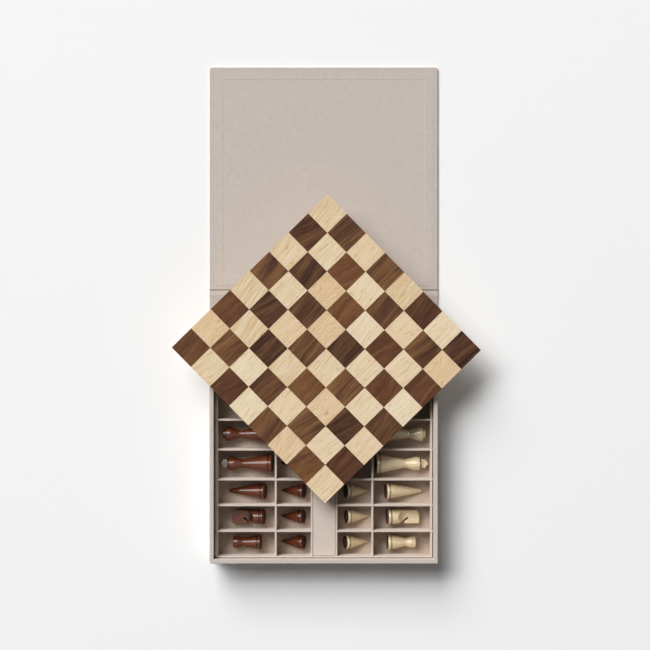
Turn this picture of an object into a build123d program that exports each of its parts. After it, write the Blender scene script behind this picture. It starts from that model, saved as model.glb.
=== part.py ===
import os
from math import atan2, cos, sin

from build123d import *

os.makedirs("parts", exist_ok=True)

# Frame: origin on the table under the middle of the tray, +X right, +Y towards the lid, +Z up.
# All sizes are millimetres.

# Cloth-covered case
wall = 5.6
cover_board = 3.3
overhang = 3.0
lid_front_overhang = 2.0
cover_corner = 3.0
tray_floor_board = 2.0

# Cloth hinges and lid lining
hinge_height = 0.2
hinge_cloth = 0.6
hinge_edge = 0.3
spine_gap = 0.5
lid_gap = 0.3
lid_groove = 7.3
lining = 0.3
lining_margin = 6.4

# Loose compartment insert, with the room that it leaves round the pieces and inside the tray
insert_wall = 2.6
insert_play = 3.2
insert_shift_x = 0.6
insert_shift_y = -1.4
small_row_room = 10.4
large_row_room = 11.2
officer_room = 3.0
pawn_room = 3.9
depth_room = 3.5
channel_width = 33.0
lap_clearance = 0.1
divider_tab = 0.8
panel_gap = 0.8
panel_drop = 0.6
panel_card = 1.8

# Chessboard, with the room round it when it is put away on top of the insert
squares_per_side = 8
square = 36.2
board_thickness = 10.0
board_play = 3.2
recess_room = 2.0
veneer = 0.8
veneer_joint = 0.1
board_x = 3.5
board_y = 134.1
board_turn = 44.5
board_gap = 0.3

# Turned foot that all chess pieces share
foot_height = 3.8
foot_edge = 1.3
groove_width = 1.5
groove_depth = 1.2
body_step = 0.4
body_edge = 0.5
felt = 0.8
felt_margin = 0.7
rest_gap = 0.3

# King
king_base = 26.2
king_waist = 11.2
king_head = 18.8
king_flare = 12.8
king_barrel = 7.2
king_top_height = 59.0
king_edge = 1.6
finial_thickness = 4.0
finial_stem = 4.4
finial_neck = 2.0
finial_arms = 11.2
finial_arm_height = 6.2
finial_stub = 5.2
finial_stub_height = 2.8
finial_edge = 1.2

# Queen
queen_base = 25.0
queen_waist = 10.4
queen_head = 19.2
queen_flare = 12.8
queen_barrel = 6.6
queen_top_height = 60.4
queen_boss = 12.4
queen_boss_height = 3.6
queen_edge = 0.8

# Bishop
bishop_base = 21.5
bishop_height = 50.2
bishop_tip = 4.6

# Knight
knight_base = 21.0
knight_body = 19.6
knight_height = 42.4
knight_head_thickness = 10.4
knight_scoop_start = 12.8
knight_scoop = 14.0
knight_brow = 8.6
knight_muzzle = 1.2
knight_slit = 1.8
knight_slit_reach = 0.4
knight_slit_height = 26.2
knight_chin_height = 22.2
knight_chin_drop = 5.3
knight_notch_height = 12.4

# Rook
rook_base = 20.5
rook_waist = 10.8
rook_crown = 15.6
rook_flare = 6.6
rook_barrel = 6.4
rook_height = 37.2
rook_edge = 0.6

# Pawn
pawn_base = 19.0
pawn_height = 32.0
pawn_tip = 1.6

# Free space between each base and the divider behind it
dark_seat = {"king": 2.4, "queen": 5.0, "bishop": 10.8, "knight": 12.7, "rook": 17.9}
light_seat = {"king": 2.4, "queen": 5.0, "bishop": 14.7, "knight": 17.1, "rook": 18.4}
dark_pawn_seats = [6.1, 6.6, 5.8, 6.4, 6.0, 6.9, 6.3, 6.5]
light_pawn_seats = [7.6, 8.9, 8.0, 7.8, 8.4, 7.5, 8.1, 7.9]

# Heights along the pieces
king_shoulder_height = king_top_height - king_barrel
king_waist_height = king_shoulder_height - king_flare
king_height = king_top_height + finial_neck + finial_arm_height + finial_stub_height
queen_shoulder_height = queen_top_height - queen_barrel
queen_waist_height = queen_shoulder_height - queen_flare
queen_height = queen_top_height + queen_boss_height
knight_scoop_end = knight_scoop_start + knight_scoop
rook_crown_height = rook_height - rook_barrel
rook_waist_height = rook_crown_height - rook_flare

# Compartments take the largest piece that lies in them
officer_heights = {
    "king": king_height,
    "queen": queen_height,
    "bishop": bishop_height,
    "knight": knight_height,
    "rook": rook_height,
}
officer_reach = max(
    seat[officer] + officer_heights[officer] for seat in (dark_seat, light_seat) for officer in officer_heights
)
pawn_reach = max(dark_pawn_seats + light_pawn_seats) + pawn_height
officer_column = insert_wall + felt + officer_reach + officer_room
pawn_column = insert_wall + felt + pawn_reach + pawn_room
small_row = insert_wall + max(bishop_base, knight_base, rook_base, pawn_base) + small_row_room
large_row = insert_wall + max(king_base, queen_base) + large_row_room
row_pitches = [small_row] * 3 + [large_row] * 2 + [small_row] * 3
insert_width = 2 * (officer_column + pawn_column) + channel_width
insert_length = sum(row_pitches)
insert_depth = max(king_base, queen_base) + depth_room

# The tray takes the insert, and the board on top of it
board_side = squares_per_side * square
insert_side = max(insert_width, insert_length) + insert_wall
tray_side = max(insert_side + insert_play, board_side + board_play) + 2 * wall
tray_floor_top = cover_board + tray_floor_board
insert_top = tray_floor_top + insert_depth
insert_middle = tray_floor_top + insert_depth / 2
rim_height = insert_top + board_thickness + recess_room
half_tray = tray_side / 2
half_cover = half_tray + overhang
inside = half_tray - wall

# Hinge axes, and the edges of the spine and the lid behind the tray
spine_axis_y = half_tray + spine_gap + cover_board - hinge_height
lid_axis_y = spine_axis_y + rim_height + lid_gap + cover_board + lining - 2 * hinge_height
spine_near_y = spine_axis_y + hinge_edge
spine_far_y = lid_axis_y + hinge_edge
lid_near_y = lid_axis_y + lid_groove
lid_depth = half_tray + lid_front_overhang + spine_axis_y - lid_groove

# Walls and rows of the insert
front_row_y = insert_shift_y - insert_length / 2
rear_row_y = front_row_y + insert_length
divider_ys = [front_row_y + sum(row_pitches[: row + 1]) for row in range(len(row_pitches) - 1)]
row_ys = [front_row_y + sum(row_pitches[:row]) + row_pitches[row] / 2 for row in range(len(row_pitches))]
channel_x = channel_width / 2
long_divider_x = channel_x + pawn_column
side_wall_x = long_divider_x + officer_column
insert_y = front_row_y + insert_length / 2
inner_length = insert_length - insert_wall

low = (Align.CENTER, Align.CENTER, Align.MIN)
low_front = (Align.CENTER, Align.MIN, Align.MIN)


def save(part, name):
    part.label = name
    export_step(part, f"parts/{name}.step")


# Base board under the tray, with its two front corners rounded
with BuildPart() as base_board:
    with Locations((0, -half_cover, 0)):
        Box(2 * half_cover, half_cover + half_tray, cover_board, align=low_front)
    fillet(base_board.edges().filter_by(Axis.Z).group_by(Axis.Y)[0], radius=cover_corner)
save(base_board.part, "base_board")

# Spine strip lying flat behind the tray
with BuildPart() as spine_board:
    with Locations((0, spine_near_y, 0)):
        Box(2 * half_cover, spine_far_y - spine_near_y, cover_board, align=low_front)
save(spine_board.part, "spine_board")

# Lid lying open, inside face up, with its two far corners rounded
with BuildPart() as lid_board:
    with Locations((0, lid_near_y, 0)):
        Box(2 * half_cover, lid_depth, cover_board, align=low_front)
    fillet(lid_board.edges().filter_by(Axis.Z).group_by(Axis.Y)[-1], radius=cover_corner)
save(lid_board.part, "lid_board")

# Lining sheet glued inside the lid, short of its edges
with BuildPart() as lid_lining:
    with Locations((0, lid_near_y + lining_margin, cover_board)):
        Box(2 * (half_cover - lining_margin), lid_depth - 2 * lining_margin, lining, align=low_front)
save(lid_lining.part, "lid_lining")

# Cloth strips of the two hinges
with BuildPart() as spine_hinge_cloth:
    with Locations((0, half_tray, 0)):
        Box(2 * half_cover, spine_near_y - half_tray, hinge_cloth, align=low_front)
save(spine_hinge_cloth.part, "spine_hinge_cloth")

with BuildPart() as lid_hinge_cloth:
    with Locations((0, spine_far_y, 0)):
        Box(2 * half_cover, lid_near_y - spine_far_y, hinge_cloth, align=low_front)
save(lid_hinge_cloth.part, "lid_hinge_cloth")

# Tray floor between the four walls
with BuildPart() as tray_floor:
    with Locations((0, 0, cover_board)):
        Box(2 * inside, 2 * inside, tray_floor_board, align=low)
save(tray_floor.part, "tray_floor")

# Front and rear walls run the full width, the side walls stand between them
wall_height = rim_height - cover_board
for wall_name, wall_x, wall_y, wall_width, wall_length in [
    ("front_wall", 0, -half_tray + wall / 2, tray_side, wall),
    ("rear_wall", 0, half_tray - wall / 2, tray_side, wall),
    ("left_wall", -half_tray + wall / 2, 0, wall, 2 * inside),
    ("right_wall", half_tray - wall / 2, 0, wall, 2 * inside),
]:
    with BuildPart() as tray_wall:
        with Locations((wall_x, wall_y, cover_board)):
            Box(wall_width, wall_length, wall_height, align=low)
    save(tray_wall.part, wall_name)

# Insert end walls, full width of the insert
with BuildPart() as insert_end_walls:
    with Locations(
        (insert_shift_x, front_row_y, tray_floor_top),
        (insert_shift_x, rear_row_y, tray_floor_top),
    ):
        Box(insert_width + insert_wall, insert_wall, insert_depth, align=low)
save(insert_end_walls.part, "insert_end_walls")

# Insert side walls, notched from above where the cross dividers pass through
notch_width = insert_wall + 2 * lap_clearance
notch_places = [(x, y, insert_top) for x in (-side_wall_x, side_wall_x) for y in divider_ys]
with BuildPart() as insert_side_walls:
    with Locations((insert_shift_x, 0, 0)):
        with Locations((-side_wall_x, insert_y, tray_floor_top), (side_wall_x, insert_y, tray_floor_top)):
            Box(insert_wall, inner_length, insert_depth, align=low)
        with Locations(*notch_places):
            Box(insert_wall, notch_width, insert_depth, mode=Mode.SUBTRACT)
save(insert_side_walls.part, "insert_side_walls")

# Plain walls of the middle channel
with BuildPart() as channel_walls:
    with Locations(
        (insert_shift_x - channel_x, insert_y, tray_floor_top),
        (insert_shift_x + channel_x, insert_y, tray_floor_top),
    ):
        Box(insert_wall, inner_length, insert_depth, align=low)
save(channel_walls.part, "channel_walls")

# Long dividers between officers and pawns, notched from above
lap_places = [(x, y, insert_top) for x in (-long_divider_x, long_divider_x) for y in divider_ys]
with BuildPart() as long_dividers:
    with Locations((insert_shift_x, 0, 0)):
        with Locations((-long_divider_x, insert_y, tray_floor_top), (long_divider_x, insert_y, tray_floor_top)):
            Box(insert_wall, inner_length, insert_depth, align=low)
        with Locations(*lap_places):
            Box(insert_wall, notch_width, insert_depth, mode=Mode.SUBTRACT)
save(long_dividers.part, "long_dividers")


# Seven cross dividers of one bank: notched from below, with a tab through the side wall
def cross_dividers(side):
    inner_x = channel_x + insert_wall / 2
    outer_x = side_wall_x - insert_wall / 2
    tab_x = side_wall_x + insert_wall / 2 + divider_tab
    with BuildPart() as dividers:
        for divider_y in divider_ys:
            with BuildSketch(Plane.XZ.offset(-divider_y)):
                with BuildLine():
                    Polyline(
                        (insert_shift_x + side * inner_x, tray_floor_top),
                        (insert_shift_x + side * outer_x, tray_floor_top),
                        (insert_shift_x + side * outer_x, insert_middle),
                        (insert_shift_x + side * tab_x, insert_middle),
                        (insert_shift_x + side * tab_x, insert_top),
                        (insert_shift_x + side * inner_x, insert_top),
                        close=True,
                    )
                make_face()
                with Locations((insert_shift_x + side * long_divider_x, tray_floor_top)):
                    Rectangle(notch_width, insert_depth, mode=Mode.SUBTRACT)
            extrude(amount=insert_wall / 2, both=True)
    return dividers.part


save(cross_dividers(-1), "left_cross_dividers")
save(cross_dividers(1), "right_cross_dividers")

# Folded card over the channel: a top and two legs that stand on the tray floor
panel_width = channel_width - insert_wall - 2 * panel_gap
panel_height = insert_depth - panel_drop
panel_length = inner_length - 2 * panel_gap
with BuildPart() as centre_panel:
    with Locations((insert_shift_x, insert_y, tray_floor_top)):
        Box(panel_width, panel_length, panel_height, align=low)
        Box(
            panel_width - 2 * panel_card,
            panel_length,
            panel_height - panel_card,
            align=low,
            mode=Mode.SUBTRACT,
        )
save(centre_panel.part, "centre_panel")

# Chessboard lying across the rims, turned on its corner
board_bottom = rim_height + board_gap
core_thickness = board_thickness - veneer
board_plane = Plane.XY.offset(board_bottom).move(Location((board_x, board_y, 0))).rotated((0, 0, board_turn))
square_places = [(column, row) for column in range(squares_per_side) for row in range(squares_per_side)]

with BuildPart(board_plane) as board_core:
    Box(board_side, board_side, core_thickness, align=low)
save(board_core.part, "board_core")


# The squares of one colour, with a hairline joint between neighbours
def veneer_squares(colour):
    first = (square - board_side) / 2
    places = [
        (first + column * square, first + row * square)
        for column, row in square_places
        if (column + row) % 2 == colour
    ]
    with BuildPart(board_plane.offset(core_thickness)) as squares:
        with Locations(*places):
            Box(square - veneer_joint, square - veneer_joint, veneer, align=low)
    return squares.part


save(veneer_squares(0), "light_squares")
save(veneer_squares(1), "dark_squares")


# A piece lies on its foot and its head, each given as a diameter and its height on the piece.
# Local X points up, local Y runs from base to tip.
def lying_plane(side, wall_face, seat, row_y, base, foot_rest, head_rest):
    foot_width, foot_at = foot_rest
    head_width, head_at = head_rest
    lean = atan2((foot_width - head_width) / 2, head_at - foot_at)
    base_x = wall_face + side * (seat + base / 2 * sin(lean) + felt * cos(lean))
    base_z = tray_floor_top + rest_gap + foot_width / 2 * cos(lean) + foot_at * sin(lean)
    return Plane(
        origin=(base_x, row_y, base_z),
        x_dir=(side * sin(lean), 0, cos(lean)),
        z_dir=(0, side, 0),
    )


# Corners of the foot and its groove as (radius, height, rounding), up to the body's lower edge
def foot_corners(base):
    body = base / 2 - body_step
    groove_top = foot_height + groove_width
    return [
        (0, 0, 0),
        (base / 2, 0, foot_edge),
        (base / 2, foot_height, foot_edge),
        (body - groove_depth, foot_height, 0),
        (body - groove_depth, groove_top, 0),
        (body, groove_top, body_edge),
    ]


def turned(plane, corners):
    with BuildPart() as piece:
        with BuildSketch(plane):
            with BuildLine():
                FilletPolyline(
                    *[(radius, height) for radius, height, rounding in corners],
                    radius=[rounding for radius, height, rounding in corners],
                    close=True,
                )
            make_face()
        revolve(axis=Axis(plane.origin, plane.y_dir))
    return piece.part


def king(plane):
    head = [
        (king_waist / 2, king_waist_height, king_edge),
        (king_head / 2, king_shoulder_height, king_edge),
        (king_head / 2, king_top_height, king_edge),
        (0, king_top_height, 0),
    ]
    return turned(plane, foot_corners(king_base) + head)


# Flat cross on the king's head
def king_finial(plane):
    arms_low = king_top_height + finial_neck
    arms_high = arms_low + finial_arm_height
    stub_high = arms_high + finial_stub_height
    half_outline = [
        (finial_stem / 2, king_top_height, 0),
        (finial_stem / 2, arms_low, 0),
        (finial_arms / 2, arms_low, finial_edge),
        (finial_arms / 2, arms_high, finial_edge),
        (finial_stub / 2, arms_high, 0),
        (finial_stub / 2, stub_high, finial_edge),
    ]
    corners = half_outline + [(-across, along, edge) for across, along, edge in reversed(half_outline)]
    face_plane = Plane(origin=plane.origin, x_dir=plane.z_dir, z_dir=-plane.x_dir)
    with BuildPart() as finial:
        with BuildSketch(face_plane):
            with BuildLine():
                FilletPolyline(
                    *[(across, along) for across, along, edge in corners],
                    radius=[edge for across, along, edge in corners],
                    close=True,
                )
            make_face()
        extrude(amount=finial_thickness / 2, both=True)
    return finial.part


def queen(plane):
    head = [
        (queen_waist / 2, queen_waist_height, queen_edge),
        (queen_head / 2, queen_shoulder_height, queen_edge),
        (queen_head / 2, queen_top_height, queen_edge),
        (queen_boss / 2, queen_top_height, 0),
        (queen_boss / 2, queen_top_height + queen_boss_height, queen_edge),
        (0, queen_top_height + queen_boss_height, 0),
    ]
    return turned(plane, foot_corners(queen_base) + head)


# A straight cone whose tip is rounded off
def cone_piece(plane, base, height, tip):
    head = [
        (tip / 2, height - tip / 4, tip / 4),
        (tip / 4, height, tip / 4),
        (0, height, 0),
    ]
    return turned(plane, foot_corners(base) + head)


def rook(plane):
    crown = [
        (rook_waist / 2, rook_waist_height, rook_edge),
        (rook_crown / 2, rook_crown_height, rook_edge),
        (rook_crown / 2, rook_height, rook_edge),
        (0, rook_height, 0),
    ]
    return turned(plane, foot_corners(rook_base) + crown)


# A round body milled flat on two sides, with a rounded brow, a slit and a notch under the chin
def knight(plane, side):
    half_body = knight_body / 2
    half_head = knight_head_thickness / 2
    blank = foot_corners(knight_base)[:-1] + [
        (half_body, foot_height + groove_width, body_edge),
        (half_body, knight_height, 0),
        (0, knight_height, 0),
    ]
    collar = foot_height + groove_width
    edge = half_body + body_step / 4
    outside = edge + body_step
    slit_run = knight_slit_height - knight_notch_height
    slit_rise = half_body - knight_slit_reach
    slit_length = (slit_run**2 + slit_rise**2) ** 0.5
    slit_end = knight_slit_height + knight_slit * slit_rise / slit_length
    slit_drop = knight_slit_reach + knight_slit * slit_run / slit_length
    mouth = knight_notch_height - (outside - half_body) * slit_run / slit_rise
    front_plane = Plane(origin=plane.origin, x_dir=plane.y_dir, z_dir=plane.x_dir)
    side_plane = Plane(origin=plane.origin, x_dir=plane.y_dir, z_dir=plane.z_dir)
    with BuildPart() as piece:
        add(turned(plane, blank))
        with BuildSketch(front_plane):
            with BuildLine():
                FilletPolyline(
                    (-felt, -side * knight_base),
                    (collar, -side * knight_base),
                    (collar, -side * edge),
                    (knight_height, -side * edge),
                    (knight_height, side * edge),
                    (collar, side * edge),
                    (collar, side * knight_base),
                    (-felt, side * knight_base),
                    radius=[0, 0, 0, knight_muzzle, knight_brow, 0, 0, 0],
                    close=True,
                )
            make_face()
            with BuildLine():
                Polyline(
                    (mouth, -side * outside),
                    (knight_slit_height, -side * knight_slit_reach),
                    (slit_end, -side * slit_drop),
                    (knight_chin_height, -side * knight_chin_drop),
                    (knight_chin_height, -side * outside),
                    close=True,
                )
            make_face(mode=Mode.SUBTRACT)
        extrude(amount=knight_base, both=True, mode=Mode.INTERSECT)
        for flat_side in (-1, 1):
            with BuildSketch(side_plane):
                with BuildLine():
                    TangentArc(
                        (knight_scoop_end, flat_side * half_head),
                        (knight_scoop_start, flat_side * half_body),
                        tangent=(-1, 0),
                    )
                    Polyline(
                        (knight_scoop_start, flat_side * half_body),
                        (knight_scoop_start, flat_side * knight_base),
                        (knight_height + felt, flat_side * knight_base),
                        (knight_height + felt, flat_side * half_head),
                        (knight_scoop_end, flat_side * half_head),
                    )
                make_face()
            extrude(amount=knight_base, both=True, mode=Mode.SUBTRACT)
    return piece.part


def felt_disc(plane, base):
    with BuildPart() as disc:
        with BuildSketch(Plane(origin=plane.origin, x_dir=plane.x_dir, z_dir=-plane.y_dir)):
            Circle(base / 2 - felt_margin)
        extrude(amount=felt)
    return disc.part


# Several separate solids in one named group
def group(parts):
    with BuildPart() as solids:
        for part in parts:
            add(part)
    return solids.part


# Base of each officer, and where it touches the floor near its foot and at its head
officer_rests = {
    "king": (king_base, (king_base, foot_height), (king_head, king_top_height - king_edge)),
    "queen": (queen_base, (queen_base, foot_height), (queen_head, queen_top_height - queen_edge)),
    "bishop": (bishop_base, (bishop_base, foot_height), (bishop_tip, bishop_height - bishop_tip / 4)),
    "knight": (knight_base, (knight_body, knight_scoop_start), (knight_head_thickness, knight_height)),
    "rook": (rook_base, (rook_base, foot_height), (rook_crown, rook_height - rook_edge)),
}
pawn_rests = (pawn_base, (pawn_base, foot_height), (pawn_tip, pawn_height - pawn_tip / 4))
front_order = ["rook", "knight", "bishop", "king", "queen", "bishop", "knight", "rook"]
rows_in_sight = {"rook": 0, "knight": 1, "bishop": 2, "king": 3}
pawns_in_sight = ["first_pawn", "second_pawn", "third_pawn"]


def officer(kind, plane, side):
    makers = {
        "king": king,
        "queen": queen,
        "bishop": lambda place: cone_piece(place, bishop_base, bishop_height, bishop_tip),
        "knight": lambda place: knight(place, side),
        "rook": rook,
    }
    return makers[kind](plane)


# The sixteen pieces of one colour: the ones in sight by themselves, the ones under the board in groups
for colour, side, seats, pawn_seats in [
    ("dark", -1, dark_seat, dark_pawn_seats),
    ("light", 1, light_seat, light_pawn_seats),
]:
    officer_face = insert_shift_x + side * (long_divider_x + insert_wall / 2)
    pawn_face = insert_shift_x + side * (channel_x + insert_wall / 2)
    officer_planes = [
        lying_plane(side, officer_face, seats[kind], row_y, *officer_rests[kind])
        for kind, row_y in zip(front_order, row_ys)
    ]
    pawn_planes = [
        lying_plane(side, pawn_face, seat, row_y, *pawn_rests)
        for seat, row_y in zip(pawn_seats, row_ys)
    ]

    for kind, row in rows_in_sight.items():
        save(officer(kind, officer_planes[row], side), f"{colour}_{kind}")
        save(felt_disc(officer_planes[row], officer_rests[kind][0]), f"{colour}_{kind}_felt")
    save(king_finial(officer_planes[rows_in_sight["king"]]), f"{colour}_king_finial")
    for pawn_name, plane in zip(pawns_in_sight, pawn_planes):
        save(cone_piece(plane, pawn_base, pawn_height, pawn_tip), f"{colour}_{pawn_name}")
        save(felt_disc(plane, pawn_base), f"{colour}_{pawn_name}_felt")

    queen_row = front_order.index("queen")
    save(officer("queen", officer_planes[queen_row], side), f"{colour}_queen")
    rear_rows = range(queen_row + 1, len(front_order))
    rear_officers = [officer(front_order[row], officer_planes[row], side) for row in rear_rows]
    save(group(rear_officers), f"{colour}_rear_officers")
    rear_pawn_planes = pawn_planes[len(pawns_in_sight) :]
    rear_pawns = [cone_piece(plane, pawn_base, pawn_height, pawn_tip) for plane in rear_pawn_planes]
    save(group(rear_pawns), f"{colour}_rear_pawns")
    covered_felts = [
        felt_disc(officer_planes[row], officer_rests[front_order[row]][0])
        for row in range(queen_row, len(front_order))
    ] + [felt_disc(plane, pawn_base) for plane in rear_pawn_planes]
    save(group(covered_felts), f"{colour}_rear_felts")
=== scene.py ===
import math

import bpy
from mathutils import Matrix, Vector


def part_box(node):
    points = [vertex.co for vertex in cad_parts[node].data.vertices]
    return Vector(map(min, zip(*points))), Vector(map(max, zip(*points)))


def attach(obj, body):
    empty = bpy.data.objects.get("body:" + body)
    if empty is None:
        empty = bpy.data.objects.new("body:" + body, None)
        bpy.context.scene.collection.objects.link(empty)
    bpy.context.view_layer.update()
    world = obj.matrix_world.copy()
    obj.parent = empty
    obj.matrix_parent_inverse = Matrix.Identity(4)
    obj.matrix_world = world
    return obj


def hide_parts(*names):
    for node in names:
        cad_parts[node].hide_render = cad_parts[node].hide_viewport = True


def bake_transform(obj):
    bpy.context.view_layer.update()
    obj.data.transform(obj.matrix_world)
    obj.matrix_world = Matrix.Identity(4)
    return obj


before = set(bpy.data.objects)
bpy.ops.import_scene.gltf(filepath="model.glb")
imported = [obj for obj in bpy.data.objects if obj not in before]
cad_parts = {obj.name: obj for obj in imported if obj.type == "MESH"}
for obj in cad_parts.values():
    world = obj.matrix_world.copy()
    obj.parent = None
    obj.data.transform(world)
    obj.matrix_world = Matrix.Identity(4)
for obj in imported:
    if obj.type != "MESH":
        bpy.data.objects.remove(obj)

mm = 0.001
scene = bpy.context.scene
scene.view_settings.view_transform = "Standard"
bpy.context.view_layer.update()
print("frame loaded,", len(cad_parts), "nodes")


# Small helpers shared by every piece

def toLinear(hexColour):
    channels = [int(hexColour[place:place + 2], 16) / 255 for place in (1, 3, 5)]
    linear = [c / 12.92 if c <= 0.04045 else ((c + 0.055) / 1.055) ** 2.4 for c in channels]
    return (*linear, 1.0)


def addNode(tree, kind, inputs=None, **settings):
    node = tree.nodes.new(kind)
    for setting, value in settings.items():
        setattr(node, setting, value)
    for socket, value in (inputs or {}).items():
        if isinstance(value, bpy.types.NodeSocket):
            tree.links.new(value, node.inputs[socket])
        else:
            node.inputs[socket].default_value = value
    return node


def newMaterial(name):
    material = bpy.data.materials.new(name)
    material.use_nodes = True
    tree = material.node_tree
    return material, tree, tree.nodes["Principled BSDF"]


def keepOnly(piece):
    bpy.ops.object.select_all(action="DESELECT")
    piece.select_set(True)
    bpy.context.view_layer.objects.active = piece


def pickEdges(piece, test):  # back in edit mode with the edges that pass the test selected
    bpy.ops.object.mode_set(mode="EDIT")
    bpy.ops.mesh.select_mode(type="EDGE")
    bpy.ops.mesh.select_all(action="DESELECT")
    bpy.ops.object.mode_set(mode="OBJECT")
    points = [vertex.co for vertex in piece.data.vertices]
    for edge in piece.data.edges:
        edge.select = test(points[edge.vertices[0]], points[edge.vertices[1]])
    bpy.ops.object.mode_set(mode="EDIT")


def applyModifier(piece, kind, **settings):
    keepOnly(piece)
    modifier = piece.modifiers.new(kind.title(), kind)
    for setting, value in settings.items():
        setattr(modifier, setting, value)
    bpy.ops.object.modifier_apply(modifier=modifier.name)


def softCopy(name, node, edge, segments=2):  # a CAD node's shape with its edges eased
    piece = bpy.data.objects.new(name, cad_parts[node].data.copy())
    scene.collection.objects.link(piece)
    keepOnly(piece)
    bpy.ops.object.mode_set(mode="EDIT")
    bpy.ops.mesh.select_all(action="SELECT")
    bpy.ops.mesh.remove_doubles(threshold=0.001 * mm)
    bpy.ops.mesh.dissolve_limited(angle_limit=math.radians(1))
    bpy.ops.object.mode_set(mode="OBJECT")
    applyModifier(piece, "BEVEL", width=edge, segments=segments, limit_method="ANGLE",
                  angle_limit=math.radians(40), use_clamp_overlap=True)
    return piece


def finishPiece(piece, material, slot, body, *nodes, angle=30):
    keepOnly(piece)
    piece.data.materials.clear()
    piece.data.materials.append(material)
    bpy.ops.object.shade_smooth_by_angle(angle=math.radians(angle))
    applyModifier(piece, "WEIGHTED_NORMAL", keep_sharp=True)  # flats stay flat beside their rounded edges
    if body:
        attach(piece, body)
    if nodes:
        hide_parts(*nodes)
    return piece


# Materials

# Linen bookcloth glued over greyboard: matt, with slubbed threads both ways
bookcloth = {"light": "#D2C6BD", "dark": "#C6BAB0", "thread": 0.8, "slub": 11, "tones": (0.7, 1.3),
             "relief": 0.03, "bump": 0.2, "roughness": 0.85, "specular": 0.1, "sheen": 0.08}


def clothMaterial(name, light, dark):
    material, tree, shader = newMaterial(name)
    place = addNode(tree, "ShaderNodeTexCoord").outputs["Object"]
    fine = 1 / (bookcloth["thread"] * mm)  # threads drawn coarse enough to show
    coarse = 1 / (bookcloth["slub"] * mm)
    toneLow, toneHigh = bookcloth["tones"]
    warpPlace = addNode(tree, "ShaderNodeMapping", {"Vector": place, "Scale": (fine, coarse, fine)})
    weftPlace = addNode(tree, "ShaderNodeMapping", {"Vector": place, "Scale": (coarse, fine, fine)})
    warp = addNode(tree, "ShaderNodeTexNoise", {"Vector": warpPlace.outputs[0], "Scale": 1.0, "Detail": 2.0})
    weft = addNode(tree, "ShaderNodeTexNoise", {"Vector": weftPlace.outputs[0], "Scale": 1.0, "Detail": 2.0})
    weave = addNode(tree, "ShaderNodeMath", {0: warp.outputs[0], 1: weft.outputs[0]}, operation="ADD")
    tone = addNode(tree, "ShaderNodeMapRange", {"Value": weave.outputs[0], "From Min": toneLow,
                   "From Max": toneHigh})
    colour = addNode(tree, "ShaderNodeMix", {0: tone.outputs[0], 6: toLinear(dark), 7: toLinear(light)},
                     data_type="RGBA")
    tree.links.new(colour.outputs[2], shader.inputs["Base Color"])
    bump = addNode(tree, "ShaderNodeBump", {"Height": weave.outputs[0], "Strength": bookcloth["bump"],
                   "Distance": bookcloth["relief"] * mm})
    tree.links.new(bump.outputs[0], shader.inputs["Normal"])
    shader.inputs["Roughness"].default_value = bookcloth["roughness"]
    shader.inputs["Specular IOR Level"].default_value = bookcloth["specular"]
    shader.inputs["Sheen Weight"].default_value = bookcloth["sheen"]
    return material


# the same linen in its tones: a little darker on the lid, darker on the spine and hinges as painted shade,
# warmer on the insert's paper
coverCloth = clothMaterial("linenBookcloth", bookcloth["light"], bookcloth["dark"])
liningCloth = clothMaterial("linenLining", "#CDC2BA", "#C1B6AD")
shadedSpineCloth = clothMaterial("paintedShadeSpineCloth", "#C5B9B0", "#B8ACA3")
lidCloth = clothMaterial("darkerLidCloth", "#CCC0B7", "#BFB3AA")
insertCloth = clothMaterial("linenInsertPaper", "#D8CABE", "#CCBDB0")
floorCloth = clothMaterial("linenFloorPaper", "#D1C0B0", "#C5B3A2")

# Sawn veneer squares: each square is its own leaf, so grain, tone and slant change from one to the next
veneer = {"square": 36.2, "centre": (3.5, 134.1), "turn": 44.5, "leafShift": 0.7, "swaySize": 26,
          "swirlSize": 8, "figured": (0.76, 0.9), "fleckWidth": 1.5, "tinted": (0.4, 0.45),
          "relief": 0.03, "bump": 0.2, "roughness": 0.6, "specular": 0.05}
# walnut is dark brown with bold bands, maple is pale and fine with short flecks
walnut = {"deep": "#2C1B15", "mid": "#5D3F2D", "pale": "#8B643F", "tint": "#6E422C", "band": 10, "streak": 3.2,
          "pore": 0.8, "along": 75, "contrast": (1.0, 0.75, 0.75), "spread": 0.2, "slant": 0.3, "sway": 2.4,
          "swirl": 5, "fleck": "#261610", "fleckFrom": 0.64, "fleckWeight": 0.5}
maple = {"deep": "#C79F6B", "mid": "#E8D3B1", "pale": "#F4E6CC", "tint": "#DDB587", "band": 9, "streak": 2.4,
         "pore": 0.9, "along": 60, "contrast": (0.25, 0.6, 0.75), "spread": 0.12, "slant": 0.22, "sway": 1.4,
         "swirl": 7, "fleck": "#B98A58", "fleckFrom": 0.615, "fleckWeight": 0.8}


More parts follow.
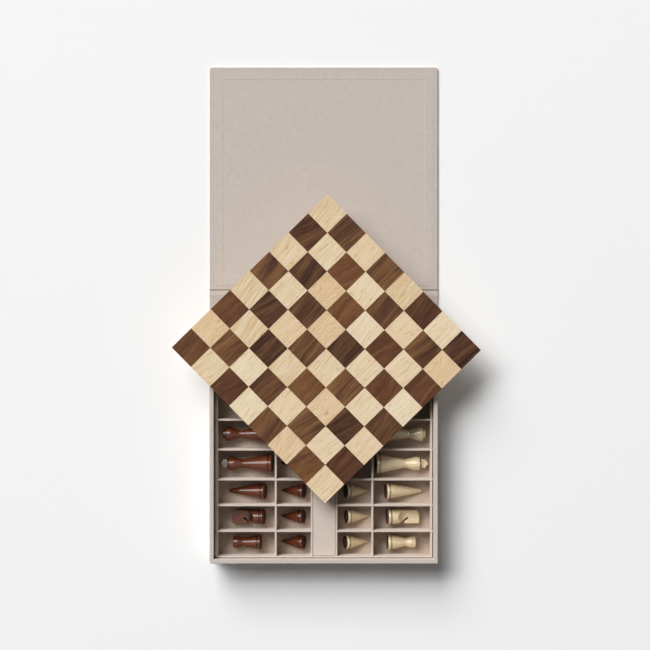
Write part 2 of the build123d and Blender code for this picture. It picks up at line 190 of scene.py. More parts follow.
def veneerMaterial(name, wood):
    material, tree, shader = newMaterial(name)
    place = addNode(tree, "ShaderNodeTexCoord").outputs["Object"]
    centre = (veneer["centre"][0] * mm, veneer["centre"][1] * mm, 0)
    local = addNode(tree, "ShaderNodeMapping", {"Vector": place, "Location": centre,
                    "Rotation": (0, 0, math.radians(veneer["turn"]))}, vector_type="TEXTURE")
    side = 1 / (veneer["square"] * mm)
    cell = addNode(tree, "ShaderNodeVectorMath", {0: local.outputs[0], 1: (side, side, 0)},
                   operation="MULTIPLY")
    cell = addNode(tree, "ShaderNodeVectorMath", {0: cell.outputs[0]}, operation="FLOOR")
    chance = addNode(tree, "ShaderNodeTexWhiteNoise", {"Vector": cell.outputs[0]}, noise_dimensions="3D")
    parts = addNode(tree, "ShaderNodeSeparateColor", {"Color": chance.outputs["Color"]})
    slant = addNode(tree, "ShaderNodeMapRange", {"Value": parts.outputs[0], "To Min": -wood["slant"],
                    "To Max": wood["slant"]})
    leaf = addNode(tree, "ShaderNodeVectorMath", {0: chance.outputs["Color"], 1: [veneer["leafShift"]] * 3,
                   2: local.outputs[0]}, operation="MULTIPLY_ADD")
    leaf = addNode(tree, "ShaderNodeVectorRotate", {"Vector": leaf.outputs[0], "Angle": slant.outputs[0]},
                   rotation_type="Z_AXIS")
    # most leaves are straight in the grain, about one in five is figured
    figure = addNode(tree, "ShaderNodeMapRange", {"Value": parts.outputs[2], "From Min": veneer["figured"][0],
                     "From Max": veneer["figured"][1], "To Max": wood["swirl"] * mm})
    for size, reach in [(veneer["swaySize"], wood["sway"] * mm), (veneer["swirlSize"], figure.outputs[0])]:
        sway = addNode(tree, "ShaderNodeTexNoise", {"Vector": leaf.outputs[0], "Scale": 1 / (size * mm),
                       "Detail": 1.0})
        sway = addNode(tree, "ShaderNodeMapRange", {"Value": sway.outputs[0], "To Min": -1, "To Max": 1})
        sway = addNode(tree, "ShaderNodeMath", {0: sway.outputs[0], 1: reach}, operation="MULTIPLY")
        sway = addNode(tree, "ShaderNodeCombineXYZ", {"Y": sway.outputs[0]})
        leaf = addNode(tree, "ShaderNodeVectorMath", {0: leaf.outputs[0], 1: sway.outputs[0]},
                       operation="ADD")
    along = 1 / (wood["along"] * mm)
    grain = {}
    for layer, width, shorter in [("band", wood["band"], 1), ("streak", wood["streak"], 1),
                                  ("pore", wood["pore"], 3), ("fleck", veneer["fleckWidth"], 5)]:
        layerPlace = addNode(tree, "ShaderNodeMapping", {"Vector": leaf.outputs[0],
                             "Scale": (along * shorter, 1 / (width * mm), 1)})
        grain[layer] = addNode(tree, "ShaderNodeTexNoise", {"Vector": layerPlace.outputs[0], "Scale": 1.0,
                               "Detail": 3.0, "Roughness": 0.55}).outputs[0]
    shift = addNode(tree, "ShaderNodeMapRange", {"Value": parts.outputs[1], "To Min": 0.5 - wood["spread"],
                    "To Max": 0.5 + wood["spread"]}).outputs[0]
    for layer, weight in zip(("band", "streak", "pore"), wood["contrast"]):
        wave = addNode(tree, "ShaderNodeMath", {0: grain[layer], 1: 0.5}, operation="SUBTRACT")
        shift = addNode(tree, "ShaderNodeMath", {0: wave.outputs[0], 1: weight, 2: shift},
                        operation="MULTIPLY_ADD").outputs[0]
    low = addNode(tree, "ShaderNodeMapRange", {"Value": shift, "From Min": 0.1, "From Max": 0.5})
    high = addNode(tree, "ShaderNodeMapRange", {"Value": shift, "From Min": 0.5, "From Max": 0.9})
    fleck = addNode(tree, "ShaderNodeMapRange", {"Value": grain["fleck"], "From Min": wood["fleckFrom"],
                    "From Max": wood["fleckFrom"] + 0.1, "To Max": wood["fleckWeight"]})
    tint = addNode(tree, "ShaderNodeMapRange", {"Value": parts.outputs[2], "From Min": veneer["tinted"][0],
                   "From Max": 1, "To Max": veneer["tinted"][1]})
    colour = toLinear(wood["deep"])
    for amount, hexColour in [(low, "mid"), (high, "pale"), (tint, "tint"), (fleck, "fleck")]:
        colour = addNode(tree, "ShaderNodeMix", {0: amount.outputs[0], 6: colour,
                         7: toLinear(wood[hexColour])}, data_type="RGBA").outputs[2]
    tree.links.new(colour, shader.inputs["Base Color"])
    shader.inputs["Roughness"].default_value = veneer["roughness"]
    shader.inputs["Specular IOR Level"].default_value = veneer["specular"]
    bump = addNode(tree, "ShaderNodeBump", {"Height": grain["pore"], "Strength": veneer["bump"],
                   "Distance": veneer["relief"] * mm})
    tree.links.new(bump.outputs[0], shader.inputs["Normal"])
    return material


walnutVeneer = veneerMaterial("walnutVeneer", walnut)
mapleVeneer = veneerMaterial("mapleVeneer", maple)

# Turned and lacquered hardwood: grain runs along the lying pieces, gloss comes from the lacquer coat
lacquer = {"roughness": 0.45, "specular": 0.1, "gloss": 0.06, "relief": 0.05, "bump": 0.25, "shadeReach": 4,
           "turnedEnd": 0.75, "carvedEnd": 0.24, "endRamp": 0.25}
# rosewood is red brown with fine dark grain, boxwood is pale yellow and close in the grain
# creviceShade is the colour of the painted shade in the grooves, the saw cut and other hollows
rosewood = {"deep": "#401B0B", "pale": "#7C3E1F", "across": 1.1, "along": 16, "coat": 0.6,
            "end": "#220E08", "endGrain": 0.9, "creviceShade": "#140805"}
boxwood = {"deep": "#E5CEA0", "pale": "#F5E4C0", "across": 1.6, "along": 30, "coat": 0.8,
           "end": "#A98755", "endGrain": 0.5, "creviceShade": "#4A2F18"}


def turnedWood(name, wood, endFrom):
    material, tree, shader = newMaterial(name)
    place = addNode(tree, "ShaderNodeTexCoord").outputs["Object"]
    across, along = 1 / (wood["across"] * mm), 1 / (wood["along"] * mm)
    grainPlace = addNode(tree, "ShaderNodeMapping", {"Vector": place, "Scale": (along, across, across)})
    grain = addNode(tree, "ShaderNodeTexNoise", {"Vector": grainPlace.outputs[0], "Scale": 1.0,
                    "Detail": 3.0})
    tone = addNode(tree, "ShaderNodeMapRange", {"Value": grain.outputs[0], "From Min": 0.3, "From Max": 0.7})
    colour = addNode(tree, "ShaderNodeMix", {0: tone.outputs[0], 6: toLinear(wood["deep"]),
                     7: toLinear(wood["pale"])}, data_type="RGBA")
    geometry = addNode(tree, "ShaderNodeNewGeometry")
    normal = addNode(tree, "ShaderNodeSeparateXYZ", {0: geometry.outputs["Normal"]})
    endGrain = addNode(tree, "ShaderNodeMath", {0: normal.outputs[0]}, operation="ABSOLUTE")  # grain along x
    endGrain = addNode(tree, "ShaderNodeMapRange", {"Value": endGrain.outputs[0], "From Min": endFrom,
                       "From Max": endFrom + lacquer["endRamp"], "To Max": wood["endGrain"]})
    colour = addNode(tree, "ShaderNodeMix", {0: endGrain.outputs[0], 6: colour.outputs[2],
                     7: toLinear(wood["end"])}, data_type="RGBA")
    # painted shade: ambient occlusion darkens the turned grooves, the saw cut and other hollows
    creviceShade = addNode(tree, "ShaderNodeAmbientOcclusion", {"Distance": lacquer["shadeReach"] * mm}, samples=8,
                      only_local=True)
    creviceShade = addNode(tree, "ShaderNodeMapRange", {"Value": creviceShade.outputs["AO"], "From Min": 0.75,
                      "From Max": 0.25})
    colour = addNode(tree, "ShaderNodeMix", {0: creviceShade.outputs[0], 6: colour.outputs[2],
                     7: toLinear(wood["creviceShade"])}, data_type="RGBA")
    tree.links.new(colour.outputs[2], shader.inputs["Base Color"])
    shader.inputs["Roughness"].default_value = lacquer["roughness"]
    shader.inputs["Specular IOR Level"].default_value = lacquer["specular"]
    shader.inputs["Coat Weight"].default_value = wood["coat"]
    shader.inputs["Coat Roughness"].default_value = lacquer["gloss"]
    ripple = addNode(tree, "ShaderNodeBump", {"Height": grain.outputs[0], "Strength": lacquer["bump"],
                     "Distance": lacquer["relief"] * mm})
    tree.links.new(ripple.outputs[0], shader.inputs["Coat Normal"])
    return material


# the carved knights show more end grain than the turned pieces
darkWood = turnedWood("lacqueredRosewood", rosewood, lacquer["turnedEnd"])
darkCarved = turnedWood("carvedRosewood", rosewood, lacquer["carvedEnd"])
lightWood = turnedWood("lacqueredBoxwood", boxwood, lacquer["turnedEnd"])
lightCarved = turnedWood("carvedBoxwood", boxwood, lacquer["carvedEnd"])

# Wool felt under the pieces: dull, fuzzy, no gloss, its fibre drawn coarse enough to show
felt = {"dark": "#33190F", "light": "#52301F", "fibre": 0.8, "roughness": 0.95, "specular": 0.1, "sheen": 0.05}
feltMaterial, feltTree, feltShader = newMaterial("woolFelt")
feltPlace = addNode(feltTree, "ShaderNodeTexCoord").outputs["Object"]
feltNoise = addNode(feltTree, "ShaderNodeTexNoise", {"Vector": feltPlace, "Scale": 1 / (felt["fibre"] * mm),
                    "Detail": 3.0})
feltColour = addNode(feltTree, "ShaderNodeMix", {0: feltNoise.outputs[0], 6: toLinear(felt["dark"]),
                     7: toLinear(felt["light"])}, data_type="RGBA")
feltTree.links.new(feltColour.outputs[2], feltShader.inputs["Base Color"])
feltShader.inputs["Roughness"].default_value = felt["roughness"]
feltShader.inputs["Specular IOR Level"].default_value = felt["specular"]
feltShader.inputs["Sheen Weight"].default_value = felt["sheen"]
print("materials ready")

# Cover: base, spine and lid boards wrapped in cloth
cover = {"edge": 0.8, "corner": 3.0}


def wrappedBoard(name, node, body, roundSide, cloth):
    low, high = (Vector(corner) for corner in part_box(node))
    bpy.ops.object.select_all(action="DESELECT")
    bpy.ops.mesh.primitive_cube_add(size=1, location=(low + high) / 2)
    piece = bpy.context.object
    piece.name = name
    piece.scale = high - low
    bpy.ops.object.transform_apply(location=True, rotation=False, scale=True)
    if roundSide:
        end = high.y if roundSide > 0 else low.y
        pickEdges(piece, lambda a, b: abs(a.z - b.z) > mm and abs(a.y - end) < 0.1 * mm)
        bpy.ops.mesh.bevel(offset=cover["corner"] * mm, segments=6, affect="EDGES")
        bpy.ops.object.mode_set(mode="OBJECT")
    applyModifier(piece, "BEVEL", width=cover["edge"] * mm, segments=3, limit_method="ANGLE",
                  angle_limit=math.radians(50))
    return finishPiece(piece, cloth, "cloth_covered_board", body, node)


wrappedBoard("baseCover", "base_board", "tray", -1, coverCloth)
# the spine's cloth is darkened as painted shade
wrappedBoard("spineCover", "spine_board", "spine", 0, shadedSpineCloth)
lidCover = wrappedBoard("lidCover", "lid_board", "lid", 1, lidCloth)
print("cover boards wrapped")

# Lining sheet inside the lid: it rises over the turned-in cloth along the lid's edges
lining = {"sheet": 0.08, "turnIn": 18, "step": 0.2, "ramp": 0.5, "headShift": 1.4}


def liningSheet():
    low, high = (Vector(corner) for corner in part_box("lid_lining"))
    lidHigh = Vector(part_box("lid_board")[1])
    bpy.ops.object.select_all(action="DESELECT")
    bpy.ops.mesh.primitive_plane_add(size=1, location=(0, (low.y + high.y) / 2, low.z))
    piece = bpy.context.object
    piece.name = "lidLining"
    piece.scale = (high.x - low.x, high.y - low.y, 1)
    bpy.ops.object.transform_apply(location=True, rotation=False, scale=True)
    inset = lining["turnIn"] * mm - (lidHigh.x - high.x)
    bpy.ops.object.mode_set(mode="EDIT")
    bpy.ops.mesh.select_all(action="SELECT")
    bpy.ops.mesh.inset(thickness=inset, depth=0)
    bpy.ops.mesh.inset(thickness=lining["ramp"] * mm, depth=0)
    bpy.ops.object.mode_set(mode="OBJECT")
    edgeX = high.x - inset - 0.5 * lining["ramp"] * mm
    for vertex in piece.data.vertices:
        inside = abs(vertex.co.x) < edgeX
        vertex.co.z = low.z + (0 if inside else lining["step"]) * mm
        if high.y - 2 * inset < vertex.co.y < high.y - 0.5 * inset:  # the turn-in is narrower at the head
            vertex.co.y += lining["headShift"] * mm
    applyModifier(piece, "SOLIDIFY", thickness=lining["sheet"] * mm, offset=1)
    finishPiece(piece, liningCloth, "lining_cloth", "lid", "lid_lining", angle=10)
    return piece


liningSheet()

# Cloth hinges: strips glued to the boards, dipping into the groove between them
hinge = {"thickness": 0.2, "lap": 5.5, "lidLap": 1.8, "rise": 0.1, "sunkEnd": 0.08}


def hingeStrip(name, node, profile):
    low, high = (Vector(corner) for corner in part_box(node))
    bpy.ops.object.select_all(action="DESELECT")
    bpy.ops.mesh.primitive_grid_add(x_subdivisions=len(profile) - 1, y_subdivisions=1, size=1)
    piece = bpy.context.object
    piece.name = name
    columns = sorted({round(vertex.co.x, 5) for vertex in piece.data.vertices})
    for vertex in piece.data.vertices:
        across, height = profile[columns.index(round(vertex.co.x, 5))]
        vertex.co = (high.x if vertex.co.y > 0 else low.x, across * mm, height * mm)
    bpy.ops.object.mode_set(mode="EDIT")
    bpy.ops.mesh.select_all(action="SELECT")
    bpy.ops.mesh.normals_make_consistent(inside=False)
    bpy.ops.object.mode_set(mode="OBJECT")
    applyModifier(piece, "SUBSURF", levels=2, render_levels=2)
    applyModifier(piece, "SOLIDIFY", thickness=hinge["thickness"] * mm, offset=0)
    # the hinges take the spine's cloth, darkened as painted shade
    finishPiece(piece, shadedSpineCloth, "bookcloth", None, node)
    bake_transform(piece)
    return piece


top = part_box("spine_board")[1][2] / mm + hinge["rise"]
sunk = top - hinge["sunkEnd"]
spineNear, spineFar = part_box("spine_board")[0][1] / mm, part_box("spine_board")[1][1] / mm
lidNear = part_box("lid_board")[0][1] / mm
lap = hinge["lap"]
hingeStrip("lidHinge", "lid_hinge_cloth", [
    (spineFar - lap, sunk), (spineFar - 1, top), (spineFar + 0.6, top - 0.1), (spineFar + 3, top - 0.6),
    (lidNear - 1.2, top - 1.3), (lidNear - 0.3, top - 1.1), (lidNear + 0.2, top - 0.2), (lidNear + 0.8, top),
    (lidNear + hinge["lidLap"], sunk)])
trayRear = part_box("rear_wall")[1][1] / mm
hingeStrip("spineHinge", "spine_hinge_cloth", [
    (trayRear + 0.2, top - 0.6), (trayRear + 0.5, top - 2), (trayRear + 1.6, top - 2.6),
    (trayRear + 3, top - 1.8), (spineNear, top - 0.2), (spineNear + 1, top),
    (spineNear + 2 * lap, sunk)])
print("hinges and lining laid")

# Tray walls: one cloth-wrapped rim with mitred corners
rim = {"edge": 0.9, "corner": 1.2, "wornCorner": 3.2}


def trayRim():
    low, high = Vector(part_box("front_wall")[0]), Vector(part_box("rear_wall")[1])
    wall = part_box("front_wall")[1][1] - low.y
    bpy.ops.object.select_all(action="DESELECT")
    bpy.ops.mesh.primitive_plane_add(size=1, location=(0, 0, low.z))
    piece = bpy.context.object
    piece.name = "trayRim"
    piece.scale = (high.x - low.x, high.y - low.y, 1)
    bpy.ops.object.transform_apply(location=True, rotation=False, scale=True)
    bpy.ops.object.mode_set(mode="EDIT")
    bpy.ops.mesh.select_all(action="SELECT")
    bpy.ops.mesh.inset(thickness=wall, depth=0)
    bpy.ops.mesh.delete(type="FACE")
    bpy.ops.mesh.select_all(action="SELECT")
    bpy.ops.mesh.extrude_region_move(TRANSFORM_OT_translate={"value": (0, 0, high.z - low.z)})
    bpy.ops.mesh.select_all(action="SELECT")
    bpy.ops.mesh.normals_make_consistent(inside=False)
    bpy.ops.object.mode_set(mode="OBJECT")
    outer = high.x - mm
    isWorn = lambda point: point.x < 0 and point.y < 0
    for worn, radius in [(True, rim["wornCorner"]), (False, rim["corner"])]:
        pickEdges(piece, lambda a, b: abs(a.z - b.z) > mm and abs(a.x) > outer and abs(a.y) > outer
                  and isWorn(a) == worn)
        bpy.ops.mesh.bevel(offset=radius * mm, segments=4, affect="EDGES")
        bpy.ops.object.mode_set(mode="OBJECT")
    applyModifier(piece, "BEVEL", width=rim["edge"] * mm, segments=3, limit_method="ANGLE",
                  angle_limit=math.radians(50))
    return finishPiece(piece, coverCloth, "cloth_covered_board", "tray", "front_wall", "rear_wall",
                       "left_wall", "right_wall")


trayRim()

# Insert: paper-wrapped boards slotted together, their edges eased
insert = {"edge": 0.45, "wall": 2.6, "belly": 1.3, "frontGap": 0.5, "panelSpread": (0.4, 0.4)}
for insertName, insertNode in [
    ("insertEnds", "insert_end_walls"), ("insertSides", "insert_side_walls"),
    ("channelWalls", "channel_walls"), ("longDividers", "long_dividers"),
    ("leftCrossDividers", "left_cross_dividers"),
    ("rightCrossDividers", "right_cross_dividers"), ("centrePanel", "centre_panel"),
]:
    insertPiece = softCopy(insertName, insertNode, insert["edge"] * mm)
    if insertNode == "insert_side_walls":  # the left one is bellied out towards the rim
        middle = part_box(insertNode)[0][0] + insert["wall"] / 2 * mm
        pickEdges(insertPiece, lambda a, b: a.x < middle and b.x < middle)
        bpy.ops.transform.translate(value=(-insert["belly"] * mm, 0, 0))
        bpy.ops.object.mode_set(mode="OBJECT")
    if insertNode == "insert_end_walls":  # the front one stands a little off the rim
        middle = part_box(insertNode)[0][1] + insert["wall"] / 2 * mm
        pickEdges(insertPiece, lambda a, b: a.y < middle and b.y < middle)
        bpy.ops.transform.translate(value=(0, insert["frontGap"] * mm, 0))
        bpy.ops.object.mode_set(mode="OBJECT")
    if insertNode == "centre_panel":  # pressed out against the channel walls and the end walls
        panelLow, panelHigh = (Vector(corner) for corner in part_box(insertNode))
        panelSize, spread = panelHigh - panelLow, insert["panelSpread"]
        insertPiece.scale = (1 + 2 * spread[0] * mm / panelSize.x, 1 + 2 * spread[1] * mm / panelSize.y, 1)
        insertPiece.location = [middleAt * (1 - grow) for middleAt, grow in
                                zip((panelLow + panelHigh) / 2, insertPiece.scale)]
        keepOnly(insertPiece)
        bpy.ops.object.transform_apply(location=True, rotation=False, scale=True)
    finishPiece(insertPiece, insertCloth, "insert_board", "tray", insertNode)
print("tray and insert built")


# CAD nodes whose shape is right take their finish here
def dress(node, material):
    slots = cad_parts[node].material_slots
    for materialSlot in slots:
        materialSlot.material = material


dress("tray_floor", floorCloth)
dress("board_core", mapleVeneer)
dress("light_squares", mapleVeneer)
dress("dark_squares", walnutVeneer)
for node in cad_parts:
    if "felt" in node:
        dress(node, feltMaterial)
print("CAD nodes dressed")

# Chess pieces: turned on one kind of foot, heights from the foot's underside
# each ring is given as (radius, height, rounding)
foot = {"height": 3.8, "edge": 1.3, "groove": 1.6, "depth": 1.4, "step": 0.4, "bodyEdge": 0.5, "sides": 72}
turnings = {
    "king": {"base": 26.2, "rings": [(5.6, 39, 1.2), (9.4, 51.8, 2.4), (9.4, 59, 1.8), (0.3, 59, 0)]},
    "queen": {"base": 25, "rings": [(5.2, 41, 1.2), (9.6, 53.8, 2), (9.6, 60.4, 1.2), (6.2, 60.4, 0),
                                    (6.2, 64, 0.8), (0.3, 64, 0)]},
    "bishop": {"base": 21.5, "rings": [(2.5, 47.9, 0.8), (1.9, 49.3, 0.5), (0.9, 50.1, 0.3), (0.2, 50.2, 0)]},
    "rook": {"base": 20.5, "rings": [(5.4, 24.2, 0.9), (7.8, 30.8, 0.9), (7.8, 37.2, 0.8), (0.3, 37.2, 0)]},
    "pawn": {"base": 19, "rings": [(1, 31, 0.4), (0.6, 31.8, 0.2), (0.2, 32, 0)]},
    "knight": {"base": 21, "body": 19.6, "rings": [(9.8, 42.4, 0), (0.3, 42.4, 0)]},
}


def turnPiece(kind):
    half = turnings[kind]["base"] / 2
    body = turnings[kind].get("body", 2 * (half - foot["step"])) / 2
    top, groove = foot["height"] + foot["groove"], half - foot["step"] - foot["depth"]
    rings = [(half, 0, foot["edge"]), (half, foot["height"], foot["edge"]), (groove, foot["height"], 0),
             (groove, top, 0), (body, top, foot["bodyEdge"])] + turnings[kind]["rings"]
    bpy.ops.object.select_all(action="DESELECT")
    bpy.ops.mesh.primitive_circle_add(vertices=foot["sides"], radius=half * mm, fill_type="NGON")
    piece = bpy.context.object
    piece.name = kind + "Blank"
    bpy.ops.object.mode_set(mode="EDIT")
    bpy.ops.mesh.select_all(action="SELECT")
    for (radius, height, _), (nextRadius, nextHeight, _) in zip(rings, rings[1:]):
        rise = (nextHeight - height) * mm
        bpy.ops.mesh.extrude_region_move(TRANSFORM_OT_translate={"value": (0, 0, rise)})
        swell = nextRadius / radius
        bpy.ops.transform.resize(value=(swell, swell, 1), center_override=(0, 0, nextHeight * mm))
    bpy.ops.mesh.select_all(action="SELECT")
    bpy.ops.mesh.normals_make_consistent(inside=False)
    bpy.ops.object.mode_set(mode="OBJECT")
    for radius, height, rounding in rings:
        if rounding:
            ring = lambda point: (abs(point.z - height * mm) < 1e-5
                                  and abs(point.xy.length - radius * mm) < 1e-5)
            pickEdges(piece, lambda a, b: ring(a) and ring(b))
            bpy.ops.mesh.bevel(offset=rounding * mm, segments=4, affect="EDGES", clamp_overlap=True)
            bpy.ops.object.mode_set(mode="OBJECT")
    return piece


# Where they lie: tip towards the outer wall, foot and head both on the tray's floor
lying = {"floor": 5.3, "gap": 0.3, "felt": 0.8,
         "rests": {"king": (26.2, 3.8, 18.8, 57.4), "queen": (25, 3.8, 19.2, 59.6),
                   "bishop": (21.5, 3.8, 4.6, 49.05), "rook": (20.5, 3.8, 15.6, 36.6),
                   "pawn": (19, 3.8, 1.6, 31.6),
                   "knight": (19.6, 12.8, 10.4, 42.4)},
         "rows": [-127.65, -93.15, -58.65, -21.4, 18.6, 55.85, 90.35, 124.85]}
sides = {
    "dark": {"way": -1, "officerFace": -65.4, "pawnFace": -17.2, "finialRoll": -7.5,
             "wood": darkWood, "carved": darkCarved, "slot": "dark_wood",
             "seats": {"king": 2.4, "queen": 5, "bishop": 10.8, "knight": 12.7, "rook": 17.9},
             "pawnSeats": [6.1, 6.6, 5.8, 6.4, 6.0, 6.9, 6.3, 6.5]},
    "light": {"way": 1, "officerFace": 66.6, "pawnFace": 18.4, "finialRoll": 0,
              "wood": lightWood, "carved": lightCarved, "slot": "light_wood",
              "seats": {"king": 2.4, "queen": 5, "bishop": 14.7, "knight": 17.1, "rook": 18.4},
              "pawnSeats": [7.6, 8.9, 8.0, 7.8, 8.4, 7.5, 8.1, 7.9]},
}

# Knight: a turned body milled flat on two sides by a round cutter, its brow rounded and its mouth sawn in
knightCut = {"half": 9.8, "top": 42.4, "flat": 5.2, "scoopEnd": 26.8, "cutter": 23.6, "scoopTurn": 48,
             "brow": 8.6, "browSlack": 0.05, "edge": 0.25, "reach": 20, "browOut": 16, "scoopOut": 24,
             "over": 3,
             "mouth": [(11.4, -10.3), (26.2, -0.2), (27.5, -2.1), (22.2, -5.7), (22.2, -10.3)]}


# the outline has points of (along the piece, across it), and the cutter reaches past both sides
def blockCutter(outline, depth, acrossAxis):
    bpy.ops.object.select_all(action="DESELECT")
    bpy.ops.mesh.primitive_circle_add(vertices=len(outline), radius=1, fill_type="NGON")
    cutter = bpy.context.object
    for vertex, (lengthwise, across) in zip(cutter.data.vertices, outline):
        corner = (-depth, across, lengthwise) if acrossAxis == "y" else (across, -depth, lengthwise)
        vertex.co = Vector(corner) * mm
    shift = (2 * depth * mm, 0, 0) if acrossAxis == "y" else (0, 2 * depth * mm, 0)
    bpy.ops.object.mode_set(mode="EDIT")
    bpy.ops.mesh.select_all(action="SELECT")
    bpy.ops.mesh.extrude_region_move(TRANSFORM_OT_translate={"value": shift})
    bpy.ops.mesh.select_all(action="SELECT")
    bpy.ops.mesh.normals_make_consistent(inside=False)
    bpy.ops.object.mode_set(mode="OBJECT")
    return cutter


def knightBlank(browSide):
    piece = turnPiece("knight")
    half, top, flat, radius = knightCut["half"], knightCut["top"], knightCut["flat"], knightCut["cutter"]
    brow, reach, past = knightCut["brow"], knightCut["reach"], top + knightCut["over"]
    corner = half + knightCut["browSlack"] - brow
    browOut, scoopOut = knightCut["browOut"], knightCut["scoopOut"]
    quarter = [math.pi / 2 * step / 16 for step in range(17)]
    browWaste = [(top - brow + brow * math.sin(angle), browSide * (corner + brow * math.cos(angle)))
                 for angle in quarter]
    browWaste += [(past, browSide * corner), (past, browSide * browOut), (top - brow, browSide * browOut)]
    mouth = [(along, browSide * across) for along, across in knightCut["mouth"]]
    cutters = [blockCutter(browWaste, reach, "y"), blockCutter(mouth, reach, "y")]
    sweep = [math.radians(knightCut["scoopTurn"]) * step / 40 for step in range(41)]
    for flatSide in (-1, 1):
        scoop = [(knightCut["scoopEnd"] - radius * math.sin(angle),
                  flatSide * (flat + radius * (1 - math.cos(angle)))) for angle in sweep]
        scoop += [(scoop[-1][0], flatSide * scoopOut), (past, flatSide * scoopOut), (past, flatSide * flat)]
        cutters.append(blockCutter(scoop, reach, "x"))
    for cutter in cutters:
        applyModifier(piece, "BOOLEAN", object=cutter, operation="DIFFERENCE", solver="EXACT")
        bpy.data.objects.remove(cutter)
    applyModifier(piece, "BEVEL", width=knightCut["edge"] * mm, segments=2, limit_method="ANGLE",
                  angle_limit=math.radians(30))
    return piece


blanks = {kind: turnPiece(kind) for kind in turnings if kind != "knight"}
blanks.update({colour + "knight": knightBlank(-side["way"]) for colour, side in sides.items()})


def layPiece(name, kind, side, face, seat, row):
    way, half = side["way"], turnings[kind]["base"] / 2
    footWidth, footAt, headWidth, headAt = lying["rests"][kind]
    lean = math.atan2((footWidth - headWidth) / 2, headAt - footAt)
    up, along = math.cos(lean), math.sin(lean)
    place = Vector((face + way * (seat + half * along + lying["felt"] * up), lying["rows"][row],
                    lying["floor"] + lying["gap"] + footWidth / 2 * up + footAt * along)) * mm
    turn = Matrix(((way * along, 0, way * up), (0, -way, 0), (up, 0, -along)))
    blank = blanks[side["slot"].split("_")[0] + kind if kind == "knight" else kind]
    piece = blank.copy()
    piece.data = blank.data.copy()
    piece.name = name
    scene.collection.objects.link(piece)
    piece.matrix_world = Matrix.Translation(place) @ turn.to_4x4()
    keepOnly(piece)
    bpy.ops.object.transform_apply(location=True, rotation=True, scale=True)
    return piece


def joinPieces(name, pieces):
    bpy.ops.object.select_all(action="DESELECT")
    for piece in pieces:
        piece.select_set(True)
    bpy.context.view_layer.objects.active = pieces[0]
    bpy.ops.object.join()
    pieces[0].name = name
    return pieces[0]


kingCross = {"edge": 0.3}
for colour, side in sides.items():
    wood, slot, face, seats = side["wood"], side["slot"], side["officerFace"], side["seats"]
    pawnFace, pawnSeats = side["pawnFace"], side["pawnSeats"]
    for kind, row in [("king", 3), ("queen", 4), ("bishop", 2), ("knight", 1), ("rook", 0)]:
        node = colour + "_" + kind
        piece = layPiece(colour + kind.title(), kind, side, face, seats[kind], row)
        finish = side["carved"] if kind == "knight" else wood
        finishPiece(piece, finish, slot, "tray" if kind == "queen" else node, node)
    for row, order in enumerate(["first", "second", "third"]):
        node = colour + "_" + order + "_pawn"
        piece = layPiece(colour + order.title() + "Pawn", "pawn", side, pawnFace, pawnSeats[row], row)
        finishPiece(piece, wood, slot, node, node)
    rear = [layPiece("rear" + kind.title(), kind, side, face, seats[kind], row)
            for kind, row in [("bishop", 5), ("knight", 6), ("rook", 7)]]
    finishPiece(joinPieces(colour + "RearOfficers", rear), wood, slot, "tray", colour + "_rear_officers")
    rear = [layPiece("rearPawn", "pawn", side, pawnFace, pawnSeats[row], row) for row in range(3, 8)]
    finishPiece(joinPieces(colour + "RearPawns", rear), wood, slot, "tray", colour + "_rear_pawns")
    finial = softCopy(colour + "KingFinial", colour + "_king_finial", kingCross["edge"] * mm)
    finialLow, finialHigh = (Vector(corner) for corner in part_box(colour + "_king_finial"))
    middle = Matrix.Translation((finialLow + finialHigh) / 2)
    roll = Matrix.Rotation(math.radians(side["finialRoll"]), 4, "X")
    finial.matrix_world = middle @ roll @ middle.inverted()
    keepOnly(finial)
    bpy.ops.object.transform_apply(location=True, rotation=True, scale=False)
    finishPiece(finial, wood, slot, colour + "_king", colour + "_king_finial")
for blank in blanks.values():
    bpy.data.objects.remove(blank)
print("chess pieces laid in their compartments")

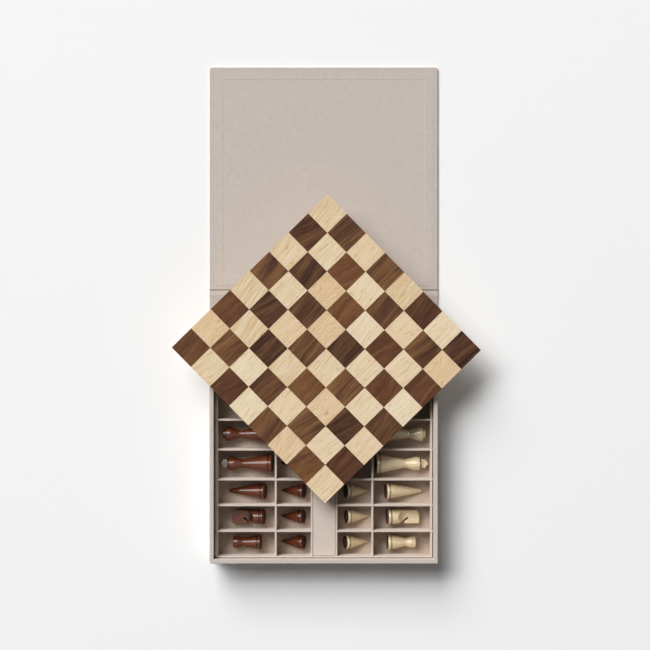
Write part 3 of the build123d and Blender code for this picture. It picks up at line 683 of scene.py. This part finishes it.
# Studio: pale floor, two soft lights from the upper left and a long strip that only makes highlights
# the surroundings light the object dimly, and the camera and reflections see them pale
studio = {"floor": "#F9F9F9", "floorSize": 16, "surround": 0.11, "backdrop": 0.93, "aim": (0, 120, 30),
          "distance": 24}
lamps = [
    {"name": "softbox", "tilt": (-0.6, 1.15), "size": (14.8, 14.8), "power": 5600, "makes": "diffuse"},
    {"name": "keyLight", "tilt": (-0.72, 0.5), "size": (13, 7), "power": 2330, "makes": "diffuse"},
    {"name": "glossStrip", "tilt": (-0.45, 0.42), "size": (30, 11), "power": 10500, "makes": "glossy"},
]
bpy.ops.object.select_all(action="DESELECT")
bpy.ops.mesh.primitive_plane_add(size=studio["floorSize"], location=(0, 0, 0))
floor = bpy.context.object
floor.name = "paleFloor"
floorMaterial, floorTree, floorShader = newMaterial("matteFloor")
floorShader.inputs["Base Color"].default_value = toLinear(studio["floor"])
floorShader.inputs["Roughness"].default_value = 0.9
floorShader.inputs["Specular IOR Level"].default_value = 0.0
floor.data.materials.append(floorMaterial)

aim = Vector(studio["aim"]) * mm
for lamp in lamps:
    towardsLight = Vector((*lamp["tilt"], 1)).normalized()
    bpy.ops.object.light_add(type="AREA", location=aim + towardsLight * studio["distance"])
    light = bpy.context.object
    light.name = lamp["name"]
    light.data.shape = "RECTANGLE"
    light.data.size, light.data.size_y = lamp["size"]
    light.data.energy = lamp["power"]
    across = (Vector((1, 0, 0)) - towardsLight * towardsLight.x).normalized()
    facing = Matrix((across, towardsLight.cross(across), towardsLight)).transposed()
    light.rotation_euler = facing.to_euler()
    light.visible_diffuse = lamp["makes"] == "diffuse"
    light.visible_glossy = lamp["makes"] == "glossy"

world = bpy.data.worlds.new("paleStudio")
scene.world = world
world.use_nodes = True
worldTree = world.node_tree
background = worldTree.nodes["Background"]
lightPath = addNode(worldTree, "ShaderNodeLightPath")
shownRay = lightPath.outputs["Is Camera Ray"]
for ray in ("Is Glossy Ray", "Is Transmission Ray"):
    shownRay = addNode(worldTree, "ShaderNodeMath", {0: shownRay, 1: lightPath.outputs[ray]},
                       operation="MAXIMUM").outputs[0]
worldLevel = addNode(worldTree, "ShaderNodeMapRange", {"Value": shownRay, "To Min": studio["surround"],
                     "To Max": studio["backdrop"]})
worldTree.links.new(worldLevel.outputs[0], background.inputs["Strength"])
background.inputs["Color"].default_value = (1, 1, 1, 1)

view = {"height": 2147, "lens": 87.4, "sensor": 36, "centre": (1.8, 165.6)}
bpy.ops.object.camera_add(location=(view["centre"][0] * mm, view["centre"][1] * mm, view["height"] * mm),
                          rotation=(0, 0, 0))
camera = bpy.context.object
camera.data.lens = view["lens"]
camera.data.sensor_width = view["sensor"]
scene.camera = camera
print("studio set")
